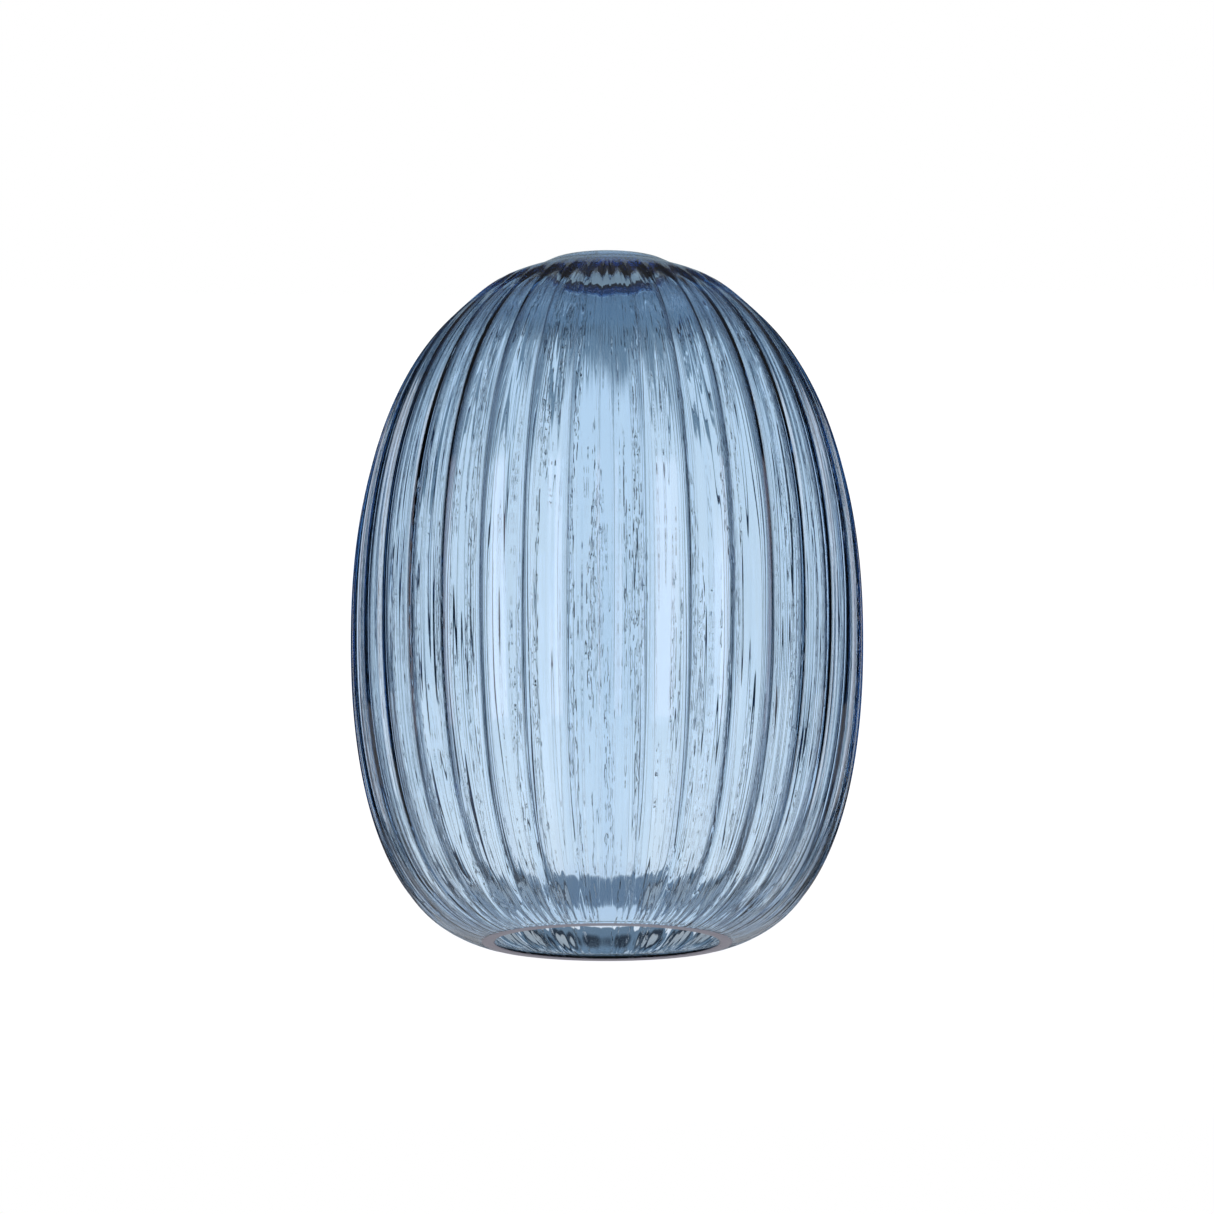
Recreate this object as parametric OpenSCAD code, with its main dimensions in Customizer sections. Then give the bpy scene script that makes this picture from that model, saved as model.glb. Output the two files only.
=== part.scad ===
// Fluted glass pendant shade, blown in a two-part mould.
// The origin is the centre of the ground rim at the bottom, +Z runs up the shade's axis,
// and the mould seams lie at the front (-Y) and the back (+Y).

/* [Body] */
// Largest outside diameter
body_d = 200; // [180:1:230]
// Overall height, from the ground rim to the land round the fitter hole
body_h = 270; // [262:1:290]
// Height of the widest place above the rim
belly_z = 122; // [110:1:130]
// How square the lower half is across: 2 is an ellipse
lower_squareness = 3.94; // [3:0.01:5]
// How square the lower half is upwards: 2 is an ellipse
lower_fullness = 2.19; // [2:0.01:2.6]
// How square the dome is across
dome_squareness = 2.51; // [2:0.01:3]
// How square the dome is upwards
dome_fullness = 2.17; // [2:0.01:2.6]
// Thickness of the glass at the widest place
wall = 3; // [2.5:0.1:4]

/* [Mouth] */
// Outside diameter of the ground rim
mouth_d = 97; // [90:0.5:105]
// Width of the ground ring
rim_w = 4.7; // [4:0.1:6]
// Extra thickness of the glass just above the mouth
foot_extra = 1.3; // [0:0.1:2]
// Height at which the glass starts to thicken towards the mouth
foot_top = 19; // [12:0.5:30]
// Height below which it has its full extra thickness
foot_bottom = 3; // [2:0.5:8]

/* [Crown] */
// Fitter hole, for the shade ring of a lampholder
fitter_d = 42; // [30:0.5:44]
// Diameter of the flat land round the fitter hole
land_d = 48; // [47:0.5:52]
// Diameter at which the raised crown ends
crown_d = 63; // [58:0.5:66]
// How far the smooth cap stands above the ends of the flutes, and the crown above the cap
cap_lift = 1.4; // [0.8:0.1:2]
// Diameter at which the cap starts to rise
cap_d = 120; // [110:1:130]
// Diameter at which the cap has risen
cap_top_d = 84; // [78:1:90]

/* [Flutes] */
// Whole flutes in each half of the mould
flutes_per_half = 16; // [12:1:18]
// Angle from a mould seam to the first whole flute
seam_margin = 8.35; // [7:0.05:9]
// Half the angle of the narrow flute that the seam runs through
seam_half = 1.5; // [1:0.1:2.5]
// Depth of a flute's scoop is its width squared over eight times this radius
scoop_r = 24; // [20:1:60]
// How flat the scoop's floor is: 2 is a parabola, more turns up more sharply at the ridges
scoop_n = 3; // [2:0.1:4]
// How far round the dome, in degrees, the flutes reach up
flute_top = 72; // [66:0.5:74]
// How far round the lower half the flutes reach down
flute_bottom = 72; // [66:0.5:74]
// Length of a flute's rounded end, in the same degrees
flute_end = 14; // [8:1:20]
// How gently a flute runs in at the top, as a share of that length
run_in = 0.4; // [0.2:0.1:1]
// How gently it runs out at the bottom
run_out = 1.1; // [0.4:0.1:1.5]

/* [Hidden] */
$fn = 256;

body_r = body_d / 2;
mouth_r = mouth_d / 2;
land_r = land_d / 2;
crown_r = crown_d / 2;
cap_r = cap_d / 2;
cap_top_r = cap_top_d / 2;
land_drop = 1.5;       // how far the dome itself stays below the land
dome_rise = body_h - land_drop - belly_z;
inner_r = body_r - wall;
inner_mouth_r = mouth_r - rim_w;
inner_rise = dome_rise - wall;
hollow_steps = 14;     // facets along each half of the hollow's outline
bore_h = 12;           // height of the cutter for the fitter hole
turn = 0.05;           // half the step over which a meridian's direction is taken
pitch = (180 - 2 * seam_margin) / flutes_per_half;
over = 1;              // how far a cutting solid runs past the face it cuts
flute_steps = 4;       // facets across a whole flute
part_steps = 3;        // facets across the part flutes beside a seam
seam_steps = 2;        // facets across the seam's narrow flute
lower_rings = 10;
dome_rings = 12;

function clamp01(t) = max(0, min(1, t));
function ease(t) = let (c = clamp01(t)) c * c * (3 - 2 * c);

// How far round the lower half of a bowl of radius r the mouth of radius m lies, in degrees.
function mouth_angle(r, m) = acos(pow(m / r, lower_squareness / 2));

// The depth of that bowl below its widest place, if it went on to its lowest point.
function bowl_depth(r, m) = belly_z / pow(sin(mouth_angle(r, m)), 2 / lower_fullness);

// A point [radius, height] of the meridian, a degrees up (or down, below 0) from the widest place:
// two superelliptic quarters, x^n + y^m = 1, that meet at the widest place.
function meridian(a, r, m, rise) = a < 0
    ? [r * pow(cos(a), 2 / lower_squareness),
       belly_z - bowl_depth(r, m) * pow(sin(-a), 2 / lower_fullness)]
    : [r * pow(cos(a), 2 / dome_squareness),
       belly_z + rise * pow(sin(a), 2 / dome_fullness)];

// The angle round the dome at which its radius is x.
function dome_angle(x, r) = acos(pow(x / r, dome_squareness / 2));

function outer(a) = meridian(a, body_r, mouth_r, dome_rise);
function inner(a) = meridian(a, inner_r, inner_mouth_r, inner_rise);

// The outward direction [radial, up] of a meridian that runs from p to q.
function outward(p, q) = let (d = q - p, n = norm(d)) [d[1] / n, -d[0] / n];

// The smooth skin stands a little above the ends of the flutes on the dome, and higher again
// on the crown, until it meets the flat land.
function lift(a) = a < 0 ? 0
    : let (x = outer(a)[0])
      cap_lift * (ease((cap_r - x) / (cap_r - cap_top_r)) + ease((crown_r - x) / (crown_r - land_r)));

// How much of a flute there is at a, from 0 on the smooth skin to 1, and u across the flute
// from -1 to 1. The ends are half an ellipse, so the flute's middle starts first.
function fluted(a, u) = let (
        up = (flute_top - a) / flute_end,
        down = (a + flute_bottom) / flute_end,
        bow = 1 - sqrt(1 - u * u))
    ease((up - bow) / run_in) * ease((down - bow) / run_out);

// Depth of a scoop of width w, u across it.
function scoop(w, u) = w * w / 8 / scoop_r * (1 - pow(abs(u), scoop_n));

// A point of the outer skin: a round the meridian, azimuth phi, u across a flute that spans span degrees.
function skin(a, phi, u, span) = let (
        p = outer(a), n = outward(outer(a - turn), outer(a + turn)), f = fluted(a, u),
        w = p[0] * span * PI / 180,
        out = lift(a) * (1 - f) - scoop(w, u) * f,
        x = p[0] + n[0] * out, z = p[1] + n[1] * out)
    [x * sin(phi), -x * cos(phi), z];

// Each flute as [start, span, facets], over half of the shade, from the middle of one seam flute
// to the middle of the next.
half_flutes = concat(
    [[seam_half, seam_margin - seam_half, part_steps]],
    [for (i = [0 : flutes_per_half - 1]) [seam_margin + i * pitch, pitch, flute_steps]],
    [[180 - seam_margin, seam_margin - seam_half, part_steps]],
    [[180 - seam_half, 2 * seam_half, seam_steps]]);

// Every column of points as [azimuth, u, span].
columns = [for (half = [0, 180]) for (f = half_flutes) for (i = [0 : f[2] - 1])
    [half + f[0] + f[1] * i / f[2], 2 * i / f[2] - 1, f[1]]];

mouth_a = mouth_angle(body_r, mouth_r);
land_a = dome_angle(land_r, body_r);
angles = concat(
    [for (i = [0 : lower_rings - 1]) -mouth_a * (1 - i / lower_rings)],
    [for (i = [0 : dome_rings]) land_a * i / dome_rings]);

// The glass before it is hollowed.
module fluted_body() {
    n = len(columns);
    rings = len(angles);
    land = [for (c = columns) [land_r * sin(c[0]), -land_r * cos(c[0]), body_h]];
    points = concat(
        [for (a = [for (i = [0 : rings - 2]) angles[i]]) for (c = columns) skin(a, c[0], c[1], c[2])],
        land);
    sides = [for (j = [0 : rings - 2]) for (i = [0 : n - 1])
        let (k = (i + 1) % n) each [
            [j * n + i, (j + 1) * n + i, (j + 1) * n + k],
            [j * n + i, (j + 1) * n + k, j * n + k]]];
    bottom = [for (i = [0 : n - 1]) i];
    top = [for (i = [n - 1 : -1 : 0]) (rings - 1) * n + i];
    polyhedron(points, concat([bottom], sides, [top]));
}

// A point of the hollow's outline: the inner meridian, moved in where the glass thickens.
function hollow_point(a) = let (
        p = inner(a), n = outward(inner(a - turn), inner(a + turn)),
        foot = a < 0 ? foot_extra * ease((foot_top - p[1]) / (foot_top - foot_bottom)) : 0)
    p - foot * n;

// The hollow inside, from below the mouth up to under the crown.
module hollow() {
    a0 = mouth_angle(inner_r, inner_mouth_r);
    lower = [for (i = [0 : hollow_steps]) hollow_point(-a0 * (1 - i / hollow_steps))];
    upper = [for (i = [1 : hollow_steps - 1]) hollow_point(90 * i / hollow_steps)];
    rotate_extrude()
        polygon(concat([[0, -over], [inner_mouth_r, -over], [inner_mouth_r, 0]], lower, upper,
            [[0, belly_z + inner_rise]]));
}

module glass_shade() {
    color([0.42, 0.6, 0.78, 0.55])
        difference() {
            fluted_body();
            hollow();
            translate([0, 0, body_h - bore_h])
                cylinder(d = fitter_d, h = bore_h + over);
        }
}

glass_shade();
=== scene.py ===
import math

import bpy
import numpy as np
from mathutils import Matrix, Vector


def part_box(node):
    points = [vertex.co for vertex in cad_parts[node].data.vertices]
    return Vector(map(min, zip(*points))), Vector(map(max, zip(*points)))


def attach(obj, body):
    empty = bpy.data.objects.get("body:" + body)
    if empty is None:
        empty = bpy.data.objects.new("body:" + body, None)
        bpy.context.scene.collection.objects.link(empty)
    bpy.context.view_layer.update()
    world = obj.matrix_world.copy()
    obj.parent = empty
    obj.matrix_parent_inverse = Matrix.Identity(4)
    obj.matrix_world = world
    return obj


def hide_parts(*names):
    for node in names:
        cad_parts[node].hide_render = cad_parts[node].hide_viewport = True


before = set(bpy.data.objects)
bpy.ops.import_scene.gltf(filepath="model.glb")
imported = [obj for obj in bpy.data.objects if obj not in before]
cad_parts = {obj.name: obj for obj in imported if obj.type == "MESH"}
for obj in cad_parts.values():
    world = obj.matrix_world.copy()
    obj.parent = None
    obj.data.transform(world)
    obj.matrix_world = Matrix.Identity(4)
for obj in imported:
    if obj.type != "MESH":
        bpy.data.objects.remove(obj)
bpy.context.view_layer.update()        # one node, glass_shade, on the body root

# ---------------------------------------------------------------------------------------------
# The shade's outline. The shade is one piece of blue-tinted glass, blown in a two-part mould, and
# its section, inside and outside, is two superelliptic quarters that meet at the widest place.
# ---------------------------------------------------------------------------------------------

low, high = (np.array(corner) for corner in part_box("glass_shade"))
body_r = (high[0] - low[0]) / 2
body_h = high[2] - low[2]
mouth_r = 0.0485
belly_z = 0.122                                  # height of the widest place
lower_squareness, lower_fullness = 3.94, 2.19    # powers of the lower quarter, across and up
dome_squareness, dome_fullness = 2.51, 2.17      # and of the dome
land_drop = 0.0015                               # how far the dome itself stays below the land
dome_rise = body_h - land_drop - belly_z
turn = 0.05                                      # degrees: half the step that gives a direction


def power(x, y):
    """x to the power y, with x kept from going a rounding error below 0."""
    return np.maximum(x, 0) ** y


def mouth_angle(r, m):
    """How far round the lower half of a bowl of radius r a mouth of radius m lies, in degrees."""
    return math.degrees(math.acos((m / r) ** (lower_squareness / 2)))


def dome_angle(x, r):
    """The angle in degrees round the dome of a bowl of radius r at which its radius is x."""
    return math.degrees(math.acos((x / r) ** (dome_squareness / 2)))


def meridian(a, r, m, rise):
    """Radius and height a degrees up (or down, below 0) from the widest place: two quarters of
    x^n + y^k = 1, with x over r, and y over the rise above and the bowl's depth below."""
    t = np.radians(np.abs(a))
    depth = belly_z / math.sin(math.radians(mouth_angle(r, m))) ** (2 / lower_fullness)
    across, up = np.cos(t), np.sin(t)
    x = np.where(a < 0, power(across, 2 / lower_squareness), power(across, 2 / dome_squareness))
    z = np.where(a < 0, -depth * power(up, 2 / lower_fullness), rise * power(up, 2 / dome_fullness))
    return r * x, belly_z + z


def outward(a, r, m, rise):
    """Unit normal of that meridian at a: the step between its points turn degrees below and
    above, turned a quarter turn outwards."""
    x1, z1 = meridian(a + turn, r, m, rise)
    x0, z0 = meridian(a - turn, r, m, rise)
    n = np.hypot(x1 - x0, z1 - z0)
    return (z1 - z0) / n, (x0 - x1) / n


# ---------------------------------------------------------------------------------------------
# The outside, as the mould leaves it: concave flutes between sharp ridges, a narrower flute on
# each side of a mould seam, a 3 degree flute along it, and a smooth cap and crown above.
# ---------------------------------------------------------------------------------------------

flutes_per_half = 16
seam_margin = 8.35                               # degrees from the seam to the first whole flute
seam_half = 1.5                                  # and to the edge of the seam's own flute
scoop_r, scoop_n = 0.024, 3.0                    # how deep a flute is, and how flat its floor
flute_top, flute_bottom = 72.0, 72.0             # degrees up and down from the widest place
flute_end = 14.0                                 # degrees that a flute's rounded end takes
run_in, run_out = 0.4, 1.1                       # how gently a flute starts above and ends below
land_r, crown_r = 0.024, 0.0315                  # the flat land, and the raised crown round it
cap_lift, cap_r, cap_top_r = 0.0014, 0.060, 0.042        # the cap rises between these two radii
lower_count, dome_count = 56, 60                 # rings of points below and above the widest place


def ease(t):
    """3t^2 - 2t^3 between 0 and 1, flat outside."""
    t = np.clip(t, 0, 1)
    return t * t * (3 - 2 * t)


def flute_columns():
    """Azimuth in degrees, place u across the flute from -1 to 1, and span in degrees, of every
    column of points: close together beside each ridge, where the glass turns sharply."""
    pitch = (180 - 2 * seam_margin) / flutes_per_half
    part = seam_margin - seam_half
    whole_u = np.array([-1, -0.97, -0.92, -0.83, -0.68, -0.38, 0, 0.38, 0.68, 0.83, 0.92, 0.97])
    part_u = np.array([-1, -0.94, -0.8, -0.5, 0, 0.5, 0.8, 0.94])
    seam_u = np.array([-1, -0.6, 0, 0.6])
    rows = []
    for half in (0, 180):
        flutes = [(seam_half, part, part_u)]
        flutes += [(seam_margin + i * pitch, pitch, whole_u) for i in range(flutes_per_half)]
        flutes += [(180 - seam_margin, part, part_u), (180 - seam_half, 2 * seam_half, seam_u)]
        for start, span, u in flutes:
            rows.append(np.stack([half + start + span * (u + 1) / 2, u, np.full(len(u), span)]))
    return np.concatenate(rows, axis=1)


def scoop_depth(x, span):
    """Depth of a flute at radius x: its width, x times its span in radians, squared over
    8 scoop_r."""
    return (x * np.radians(span)) ** 2 / 8 / scoop_r


def outer_skin(a, column):
    """The meridian, pushed in along its normal by each flute's depth times 1 - |u|^scoop_n, and
    out by the lift of the cap and crown where there is no flute. A flute starts and ends along
    half an ellipse, 1 - sqrt(1 - u^2)."""
    u, span = column[1][None, :], column[2][None, :]
    a = a[:, None]
    x, z = meridian(a, body_r, mouth_r, dome_rise)
    nx, nz = outward(a, body_r, mouth_r, dome_rise)
    bow = 1 - np.sqrt(1 - u * u)
    begun = ease(((flute_top - a) / flute_end - bow) / run_in)
    fluted = begun * ease(((a + flute_bottom) / flute_end - bow) / run_out)
    scoop = scoop_depth(x, span) * (1 - np.abs(u) ** scoop_n)
    cap = ease((cap_r - x) / (cap_r - cap_top_r)) + ease((crown_r - x) / (crown_r - land_r))
    out = cap_lift * cap * (a > 0) * (1 - fluted) - scoop * fluted
    return x + nx * out, z + nz * out


def outer_rings(column):
    """The outside from the rim up to the land, as radius and height of each ring of points."""
    lower = -mouth_angle(body_r, mouth_r) * (1 - np.linspace(0, 1, lower_count, endpoint=False))
    dome = np.linspace(0, dome_angle(land_r, body_r), dome_count, endpoint=False)
    return outer_skin(np.concatenate([lower, dome]), column)


# ---------------------------------------------------------------------------------------------
# The inside, which only the air touches: a smooth bowl that follows the flutes softly, ripples a
# little, and comes inwards just above the mouth, where the glass is thicker.
# ---------------------------------------------------------------------------------------------

wall = 0.003                                     # thickness at the widest place
rim_w = 0.0047                                   # width of the ground ring
inner_r = body_r - wall
inner_mouth_r = mouth_r - rim_w
inner_rise = dome_rise - wall
inner_share = 0.6                                # how much of a flute's depth the inside follows
inner_top, inner_top_run = 70, 20                # degrees up the dome where that stops, and over what
inner_bottom, inner_bottom_run = 57, 45          # and the same down towards the mouth
foot_extra, foot_top, foot_bottom = 0.0013, 0.019, 0.003     # extra thickness, and from where to where
ripple_depth = 0.00012
ripples_round, ripple_lean = 23, 0.05            # how many, and their lean in radians per degree up
weave, weaves_round = 2, 3                       # how far they weave sideways, in radians, and how often
swells_round, swell_lean = 5, 0.045              # the slower swell that makes them come and go
inner_count = 50                                 # rings of points below the widest place, and above it


def inner_skin(a, column):
    """The inner meridian, moved along its normal: in by inner_share of each flute's depth times
    half of 1 + cos(pi u), in or out by the ripples, which are a sine round the glass times a
    slower sine, and in by the extra thickness towards the mouth."""
    phi, u, span = (row[None, :] for row in column)
    a = a[:, None]
    x, z = meridian(a, inner_r, inner_mouth_r, inner_rise)
    nx, nz = outward(a, inner_r, inner_mouth_r, inner_rise)
    fade = ease((inner_top - a) / inner_top_run) * ease((a + inner_bottom) / inner_bottom_run)
    scoop = scoop_depth(x, span) * (0.5 + 0.5 * np.cos(np.pi * u))
    p = np.radians(phi)
    ripple = np.sin(ripples_round * p + ripple_lean * a + weave * np.sin(weaves_round * p))
    ripple = ripple_depth * ripple * np.sin(swell_lean * a + swells_round * p)
    foot = foot_extra * ease((foot_top - z) / (foot_top - foot_bottom)) * (a < 0)
    out = (-inner_share * scoop + ripple) * fade - foot
    return x + nx * out, z + nz * out


def inner_rings(start_r, column):
    """The inside from radius start_r under the crown down to the mouth, ring by ring."""
    dome = np.linspace(dome_angle(start_r, inner_r), 0, inner_count, endpoint=False)
    lower = -mouth_angle(inner_r, inner_mouth_r) * np.linspace(0, 1, inner_count)
    return inner_skin(np.concatenate([dome, lower]), column)


# ---------------------------------------------------------------------------------------------
# The cold work, and the finished glass: the mouth is cracked off and ground flat, and the fitter
# hole is cut out of the crown. Both keep a small broken edge, and the hole a round lip inside.
# ---------------------------------------------------------------------------------------------

hole_r, hole_edge, hole_lip = 0.021, 0.0004, 0.0018
lip_step = 18                                    # degrees between the rings round the lip
rim_edge = 0.0003
rim_bands = 3                                    # bands of faces across the rim: edge, flat, edge


def glass_rings():
    """The section as one closed loop of rings of points, each a radius and a height: up the
    outside, over the land, down the hole, round its lip (a quarter circle), down the inside and
    across the ground rim. Returns the columns, both arrays and how many rings the outside has."""
    column = flute_columns()
    flat = np.ones((1, column.shape[1]))
    outer_x, outer_z = outer_rings(column)
    inner_x, inner_z = inner_rings(hole_r + hole_lip, column)
    t = np.radians(np.arange(0, 90, lip_step))[:, None]
    lip_x = hole_lip * (1 - np.cos(t)) * flat + hole_r
    lip_z = inner_z[:1] + hole_lip * (1 - np.sin(t))
    land_x = np.array([[land_r], [hole_r + hole_edge], [hole_r]]) * flat
    land_z = np.array([[body_h], [body_h], [body_h - hole_edge]]) * flat
    rim_x = np.array([[inner_mouth_r + rim_edge], [mouth_r - rim_edge]]) * flat
    x = np.concatenate([outer_x, land_x, lip_x, inner_x, rim_x])
    z = np.concatenate([outer_z, land_z, lip_z, inner_z, 0 * rim_x])
    z[0] = np.maximum(z[0], rim_edge)
    z[-rim_bands] = rim_edge
    return column, x, z, len(outer_x)


def ring_mesh(name, phi, x, z):
    """A closed ring of rings: point (x sin phi, -x cos phi, z), joined round phi and round the
    section, with faces outwards."""
    rows, n = x.shape
    p = np.radians(phi)[None, :]
    points = np.stack([x * np.sin(p), -x * np.cos(p), z], axis=2).reshape(-1, 3)
    j, i = np.meshgrid(np.arange(rows), np.arange(n), indexing="ij")
    j2, i2 = (j + 1) % rows, (i + 1) % n
    quads = np.stack([j * n + i, j * n + i2, j2 * n + i2, j2 * n + i], axis=2).reshape(-1, 4)
    mesh = bpy.data.meshes.new(name)
    mesh.vertices.add(len(points))
    mesh.vertices.foreach_set("co", points.astype(np.float32).ravel())
    mesh.loops.add(quads.size)
    mesh.loops.foreach_set("vertex_index", quads.astype(np.int32).ravel())
    mesh.polygons.add(len(quads))
    mesh.polygons.foreach_set("loop_start", np.arange(0, quads.size, 4, dtype=np.int32))
    mesh.update(calc_edges=True)
    mesh.validate()
    mesh.polygons.foreach_set("use_smooth", np.ones(len(quads), bool))
    return mesh


def mark_ridges(mesh, ridge):
    """Marks as sharp the edges whose two ends are both points of a ridge."""
    ends = np.empty(len(mesh.edges) * 2, np.int32)
    mesh.edges.foreach_get("vertices", ends)
    ends = ends.reshape(-1, 2)
    sharp = mesh.attributes.new("sharp_edge", "BOOLEAN", "EDGE")
    sharp.data.foreach_set("value", ridge[ends[:, 0]] & ridge[ends[:, 1]])


def unrolled(phi, x, z):
    """The place of each point on the unrolled glass, in metres: the widest radius times sin and
    -cos of the azimuth, and the length along the section, so that streaks run with the flutes."""
    step = np.hypot(np.diff(x, axis=0, append=x[:1]), np.diff(z, axis=0, append=z[:1]))
    along = np.cumsum(step, axis=0) - step
    p = np.radians(phi)[None, :] + 0 * x
    return np.stack([body_r * np.sin(p), -body_r * np.cos(p), along], axis=2).reshape(-1, 3)


column, x, z, outer_count = glass_rings()
mesh = ring_mesh("shade", column[0], x, z)
shade = bpy.data.objects.new("shade", mesh)
bpy.context.scene.collection.objects.link(shade)
ground = np.zeros(x.shape, np.int32)
ground[-rim_bands:, :] = 1
mesh.polygons.foreach_set("material_index", ground.ravel())
ridge = np.zeros(x.shape, bool)
ridge[:outer_count] = (column[1] == -1)[None, :]
mark_ridges(mesh, ridge.ravel())
streak = mesh.attributes.new("streak", "FLOAT_VECTOR", "POINT")
streak.data.foreach_set("vector", unrolled(column[0], x, z).astype(np.float32).ravel())

# ---------------------------------------------------------------------------------------------
# What the glass looks like: soda glass with a blue tint that deepens where it is thicker, and a
# fire-polished skin with long draw streaks and short chill marks. The ground rim stays satin.
# ---------------------------------------------------------------------------------------------

glass_ior = 1.5
glass_colour = (0.95, 0.98, 1.0, 1)
tint_colour, tint_density = (0.11, 0.5, 0.82, 1), 130.0      # and how strong it is, per metre
streak_scale, streak_stretch = 350.0, 0.025      # noise cells per metre, and how drawn out upwards
mark_scale, mark_stretch = 1700.0, 0.1
patch_scale = 200.0                              # the marks come in patches, as drawn out as streaks
mark_low, mark_high = 0.56, 0.62                 # noise levels between which a mark rises
patch_low, patch_high = 0.61, 0.64               # and between which a patch begins
skin_depth = 0.0001                              # metres that a height of 1 stands for
streak_height, mark_height = 2.2, 3.2
# the ground rim's base colour is grey-lilac: painted shade of the downward-facing rim and a painted
# lilac reflection
rim_colour_with_painted_shade, rim_roughness, rim_clearness = (0.42, 0.39, 0.45, 1), 0.5, 0.3


class Socket:
    """A node's output that Python's arithmetic works on, by adding Math nodes."""

    def __init__(self, shader, output):
        self.shader, self.output = shader, output

    def maths(self, operation, *others):
        values = dict(enumerate((self, *others)))
        return self.shader.node("ShaderNodeMath", {"operation": operation}, values)

    def __add__(self, other):
        return self.maths("ADD", other)

    def __sub__(self, other):
        return self.maths("SUBTRACT", other)

    def __mul__(self, other):
        return self.maths("MULTIPLY", other)

    __radd__, __rmul__ = __add__, __mul__

    def __rsub__(self, other):
        return self * -1 + other

    def beside(self, output):
        """Another output of the same node."""
        return Socket(self.shader, self.output.node.outputs[output])

    def ramp(self, low, high, start=0.0, end=1.0):
        """start below low and end above high, with a smooth step between."""
        return self.shader.node("ShaderNodeMapRange", {"interpolation_type": "SMOOTHSTEP"}, {
            "Value": self, "From Min": low, "From Max": high, "To Min": start, "To Max": end})


class Shader:
    """A node tree that nodes are added to by type, settings and values."""

    def __init__(self, owner):
        owner.use_nodes = True
        self.tree = owner.node_tree
        self.tree.nodes.clear()

    def node(self, kind, settings=None, values=None, output=0):
        """Adds a node: settings first, then its inputs, linked where the value is a Socket."""
        made = self.tree.nodes.new(kind)
        for name, value in (settings or {}).items():
            setattr(made, name, value)
        for name, value in (values or {}).items():
            if isinstance(value, Socket):
                self.tree.links.new(value.output, made.inputs[name])
            else:
                made.inputs[name].default_value = value
        return Socket(self, made.outputs[output]) if made.outputs else None


def blue_glass():
    """Clear tinted glass: the tint is a volume, the streaks and the patches of marks are bumps."""
    material = bpy.data.materials.new("blue_glass")
    glass = Shader(material)
    place = glass.node("ShaderNodeAttribute", {"attribute_name": "streak"}, output="Vector")
    long = glass.node("ShaderNodeMapping", None, {"Vector": place, "Scale": (1, 1, streak_stretch)})
    short = glass.node("ShaderNodeMapping", None, {"Vector": place, "Scale": (1, 1, mark_stretch)})
    streaks = glass.node("ShaderNodeTexNoise", None, {
        "Vector": long, "Scale": streak_scale, "Detail": 0.0})
    marks = glass.node("ShaderNodeTexNoise", None, {
        "Vector": short, "Scale": mark_scale, "Detail": 1.0}).ramp(mark_low, mark_high)
    patches = glass.node("ShaderNodeTexNoise", None, {
        "Vector": long, "Scale": patch_scale, "Detail": 1.0}).ramp(patch_low, patch_high)
    bump = glass.node("ShaderNodeBump", None, {
        "Height": streaks * streak_height + marks * patches * mark_height,
        "Strength": 1.0, "Distance": skin_depth})
    surface = glass.node("ShaderNodeBsdfPrincipled", None, {
        "Base Color": glass_colour, "Roughness": 0.0, "IOR": glass_ior,
        "Transmission Weight": 1.0, "Normal": bump})
    tint = glass.node("ShaderNodeVolumeAbsorption", None, {
        "Color": tint_colour, "Density": tint_density})
    glass.node("ShaderNodeOutputMaterial", None, {"Surface": surface, "Volume": tint})
    return material


def ground_glass():
    """The same glass ground matt. Its grey-lilac base colour is partly painted shade, darker because the
    rim faces down, and partly a painted reflection of the lilac-white surroundings.
    """
    material = bpy.data.materials.new("ground_glass")
    rim = Shader(material)
    surface = rim.node("ShaderNodeBsdfPrincipled", None, {
        "Base Color": rim_colour_with_painted_shade, "Roughness": rim_roughness, "IOR": glass_ior,
        "Transmission Weight": rim_clearness})
    rim.node("ShaderNodeOutputMaterial", None, {"Surface": surface})
    return material


mesh.materials.append(blue_glass())
mesh.materials.append(ground_glass())
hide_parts("glass_shade")
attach(shade, "root")

# ---------------------------------------------------------------------------------------------
# The studio: panels of light and shade on a dark surround, which the glass refracts, while the
# camera itself sees plain white behind it. The lamp over the pale floor is hidden from the glass.
# ---------------------------------------------------------------------------------------------

surround = (0.03, 0.04, 0.055)
# Each panel's azimuth from the far side, half width, lowest and highest elevation and softness,
# in degrees, and its colour. Where panels overlap, their light adds up.
panels = [
    (0, 15.5, 10.5, 60, 2, (0.24, 0.30, 0.335)),         # slate, from the bright panel upwards
    (0, 15.5, 3.5, 8.5, 2, (0.14, 0.20, 0.26)),          # slate, below it
    (0, 180, 45, 91, 10, (0.14, 0.14, 0.15)),            # overhead, all round
    (38, 7, 0, 25, 3, (0.9, 0.9, 0.95)),                 # a strip on each side of the bright panel
    (-38, 7, 0, 25, 3, (0.9, 0.9, 0.95)),
    (0, 14.5, 7.1, 13.6, 0.8, (0.84, 0.77, 0.72)),       # the bright panel behind the main view
    (0, 13, -7.5, -0.5, 0.8, (0.45, 0.45, 0.45)),        # and one behind each level view
    (90, 13, -7.5, 3.0, 0.8, (0.80, 0.78, 0.76)),
    (-90, 13, -7.5, 3.0, 0.8, (0.80, 0.78, 0.76)),
    (150, 7, -10, 30, 3, (1.8, 1.6, 1.8)),               # strips on the camera's side
    (-140, 7, -10, 30, 3, (1.8, 1.6, 1.8)),
]
floor_z, floor_half = -0.8, 6                    # it reaches floor_half each way
floor_colour, floor_roughness = (0.9, 0.9, 0.9, 1), 0.9
lamp_size, lamp_power, lamp_z = 5.0, 260.0, 6.0
lens, camera_distance = 207.6, 2.734
camera_elevation = -11.25                        # degrees; below 0 it looks up
target = np.array([0.0, 0.0, 0.1325])            # what the camera looks at

scene = bpy.context.scene
scene.view_settings.view_transform = "Standard"
world = bpy.data.worlds.new("studio")
scene.world = world
sky = Shader(world)


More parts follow.
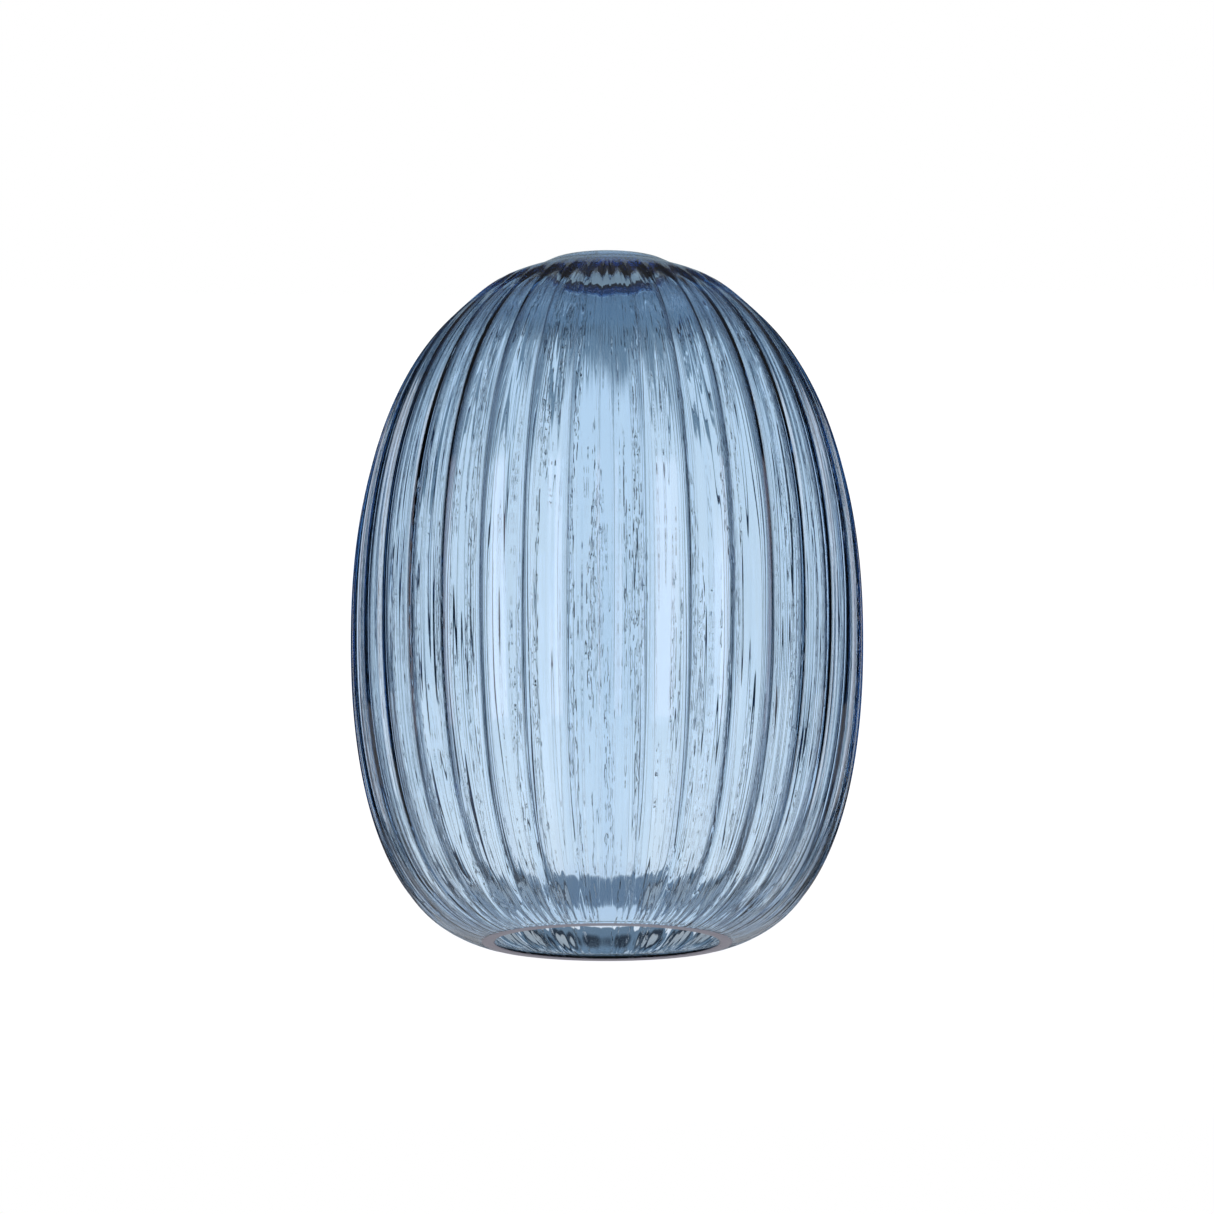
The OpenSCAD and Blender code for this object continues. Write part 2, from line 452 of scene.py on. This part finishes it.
def within(value, low, high, soft):
    """1 where value is between low and high degrees, falling to 0 over soft degrees outside."""
    middle, half = math.radians((low + high) / 2), math.radians((high - low) / 2)
    return (value - middle).maths("ABSOLUTE").ramp(half, half + math.radians(soft), 1.0, 0.0)


direction = sky.node("ShaderNodeTexCoord", output="Generated")
right = sky.node("ShaderNodeSeparateXYZ", None, {"Vector": direction}, output="X")
away, up = right.beside("Y"), right.beside("Z")
elevation = up.maths("ARCSINE")
light = sky.node("ShaderNodeCombineXYZ", None, dict(enumerate(surround)))
for centre, half, lowest, highest, soft, colour in panels:
    ahead, aside = math.cos(math.radians(centre)), math.sin(math.radians(centre))
    azimuth = (right * ahead + away * -aside).maths("ARCTAN2", right * aside + away * ahead)
    panel = within(azimuth, -half, half, soft) * within(elevation, lowest, highest, soft)
    light = sky.node("ShaderNodeVectorMath", {"operation": "MULTIPLY_ADD"}, {
        0: panel, 1: colour, 2: light})
seen_directly = sky.node("ShaderNodeLightPath", output="Is Camera Ray")
light = sky.node("ShaderNodeVectorMath", {"operation": "MAXIMUM"}, {0: light, 1: seen_directly})
background = sky.node("ShaderNodeBackground", None, {"Color": light, "Strength": 1.0})
sky.node("ShaderNodeOutputWorld", None, {"Surface": background})

corners = [(x * floor_half, y * floor_half, floor_z) for x, y in ((-1, -1), (1, -1), (1, 1), (-1, 1))]
floor_mesh = bpy.data.meshes.new("floor")
floor_mesh.from_pydata(corners, [], [(0, 1, 2, 3)])
floor = bpy.data.objects.new("floor", floor_mesh)
scene.collection.objects.link(floor)
floor_material = bpy.data.materials.new("floor")
paint = Shader(floor_material)
matt = paint.node("ShaderNodeBsdfPrincipled", None, {
    "Base Color": floor_colour, "Roughness": floor_roughness})
paint.node("ShaderNodeOutputMaterial", None, {"Surface": matt})
floor_mesh.materials.append(floor_material)

lamp_data = bpy.data.lights.new("lamp", "AREA")
lamp_data.size = lamp_size
lamp_data.energy = lamp_power
lamp = bpy.data.objects.new("lamp", lamp_data)
scene.collection.objects.link(lamp)
lamp.location = (0, 0, lamp_z)
lamp.visible_transmission = False
lamp.visible_glossy = False

camera_data = bpy.data.cameras.new("camera")
camera_data.lens = lens
camera = bpy.data.objects.new("camera", camera_data)
scene.collection.objects.link(camera)
tilt = math.radians(camera_elevation)
camera.location = target + camera_distance * np.array([0.0, -math.cos(tilt), math.sin(tilt)])
camera.rotation_euler = (math.pi / 2 - tilt, 0, 0)
scene.camera = camera
